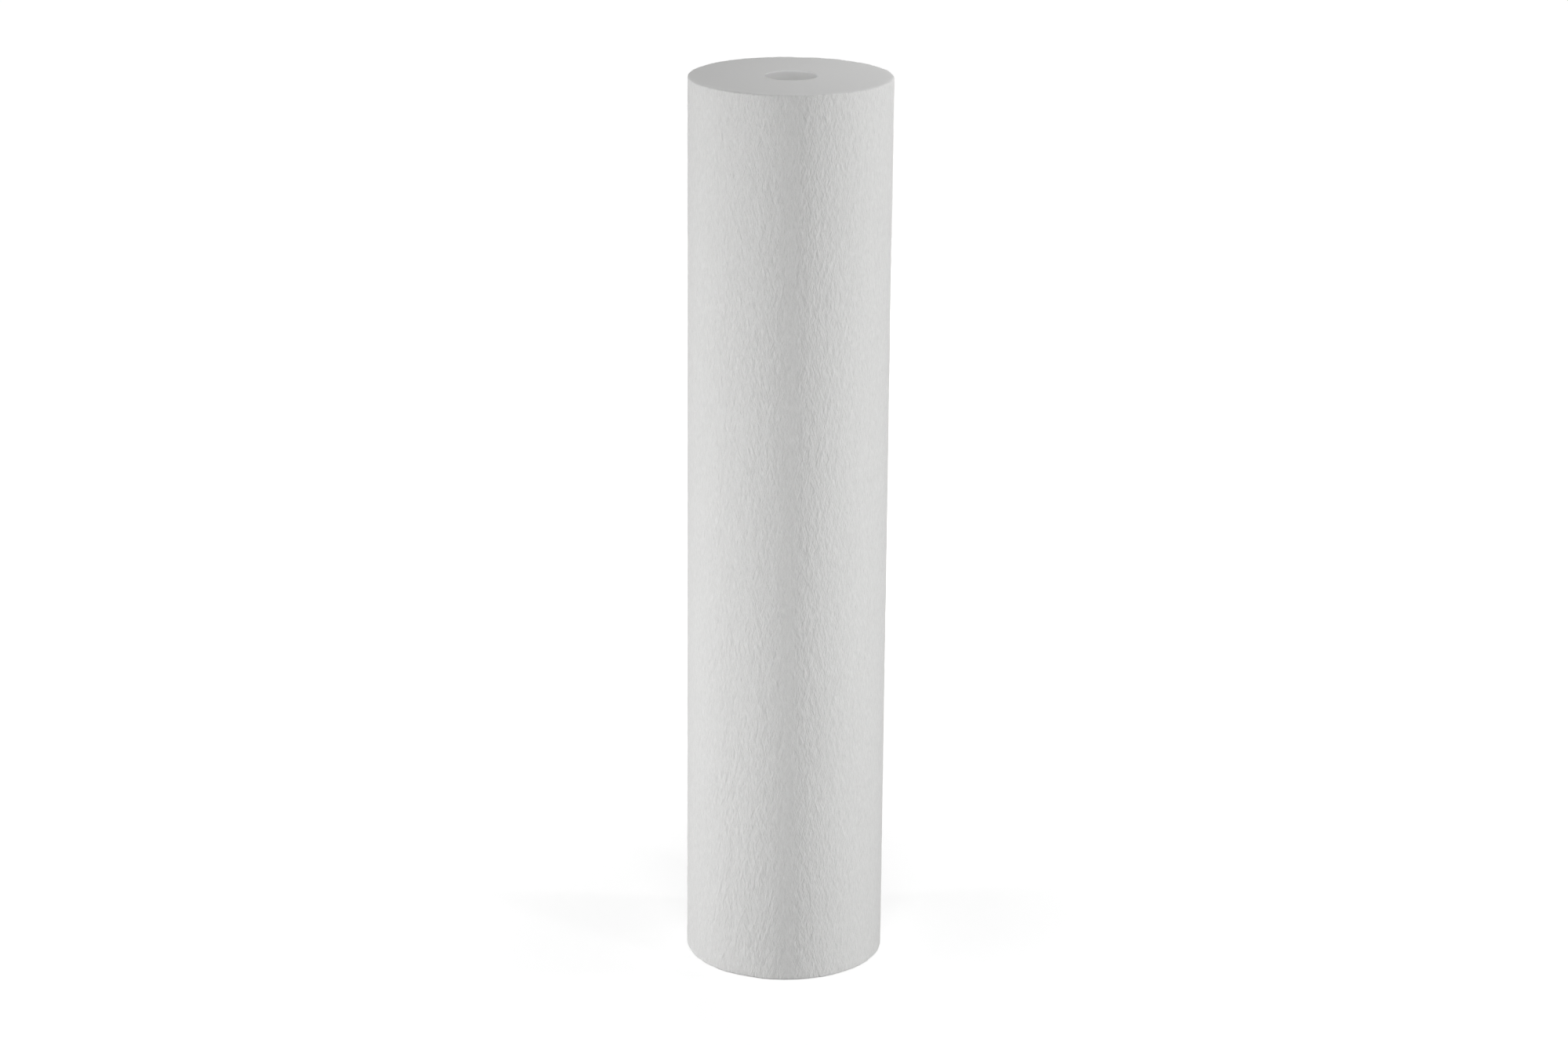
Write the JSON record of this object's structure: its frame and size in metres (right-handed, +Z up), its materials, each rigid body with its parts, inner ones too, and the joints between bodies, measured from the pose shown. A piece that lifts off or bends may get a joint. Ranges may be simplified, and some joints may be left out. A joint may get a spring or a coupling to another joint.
{
  "type": "sediment filter cartridge",
  "caption": "Straight cylindrical sleeve of white melt-blown fibre with square-cut ends and a plain bore right through, a depth filter that strains sediment from water flowing inwards.",
  "frame": {"origin": "centre of the lower end face, on the axis of the bore", "axes": "+Z up along the bore's axis, from the lower end face to the upper one; the sleeve is round, so X and Y are free"},
  "size_m": [0.112, 0.112, 0.508],
  "materials": {
    "melt_blown_fibre": "matte white polypropylene fibre, melt-blown, with fine strands that run mostly along the sleeve"
  },
  "bodies": {
    "root": {"filter_sleeve": "melt_blown_fibre"}
  },
  "joints": []
}
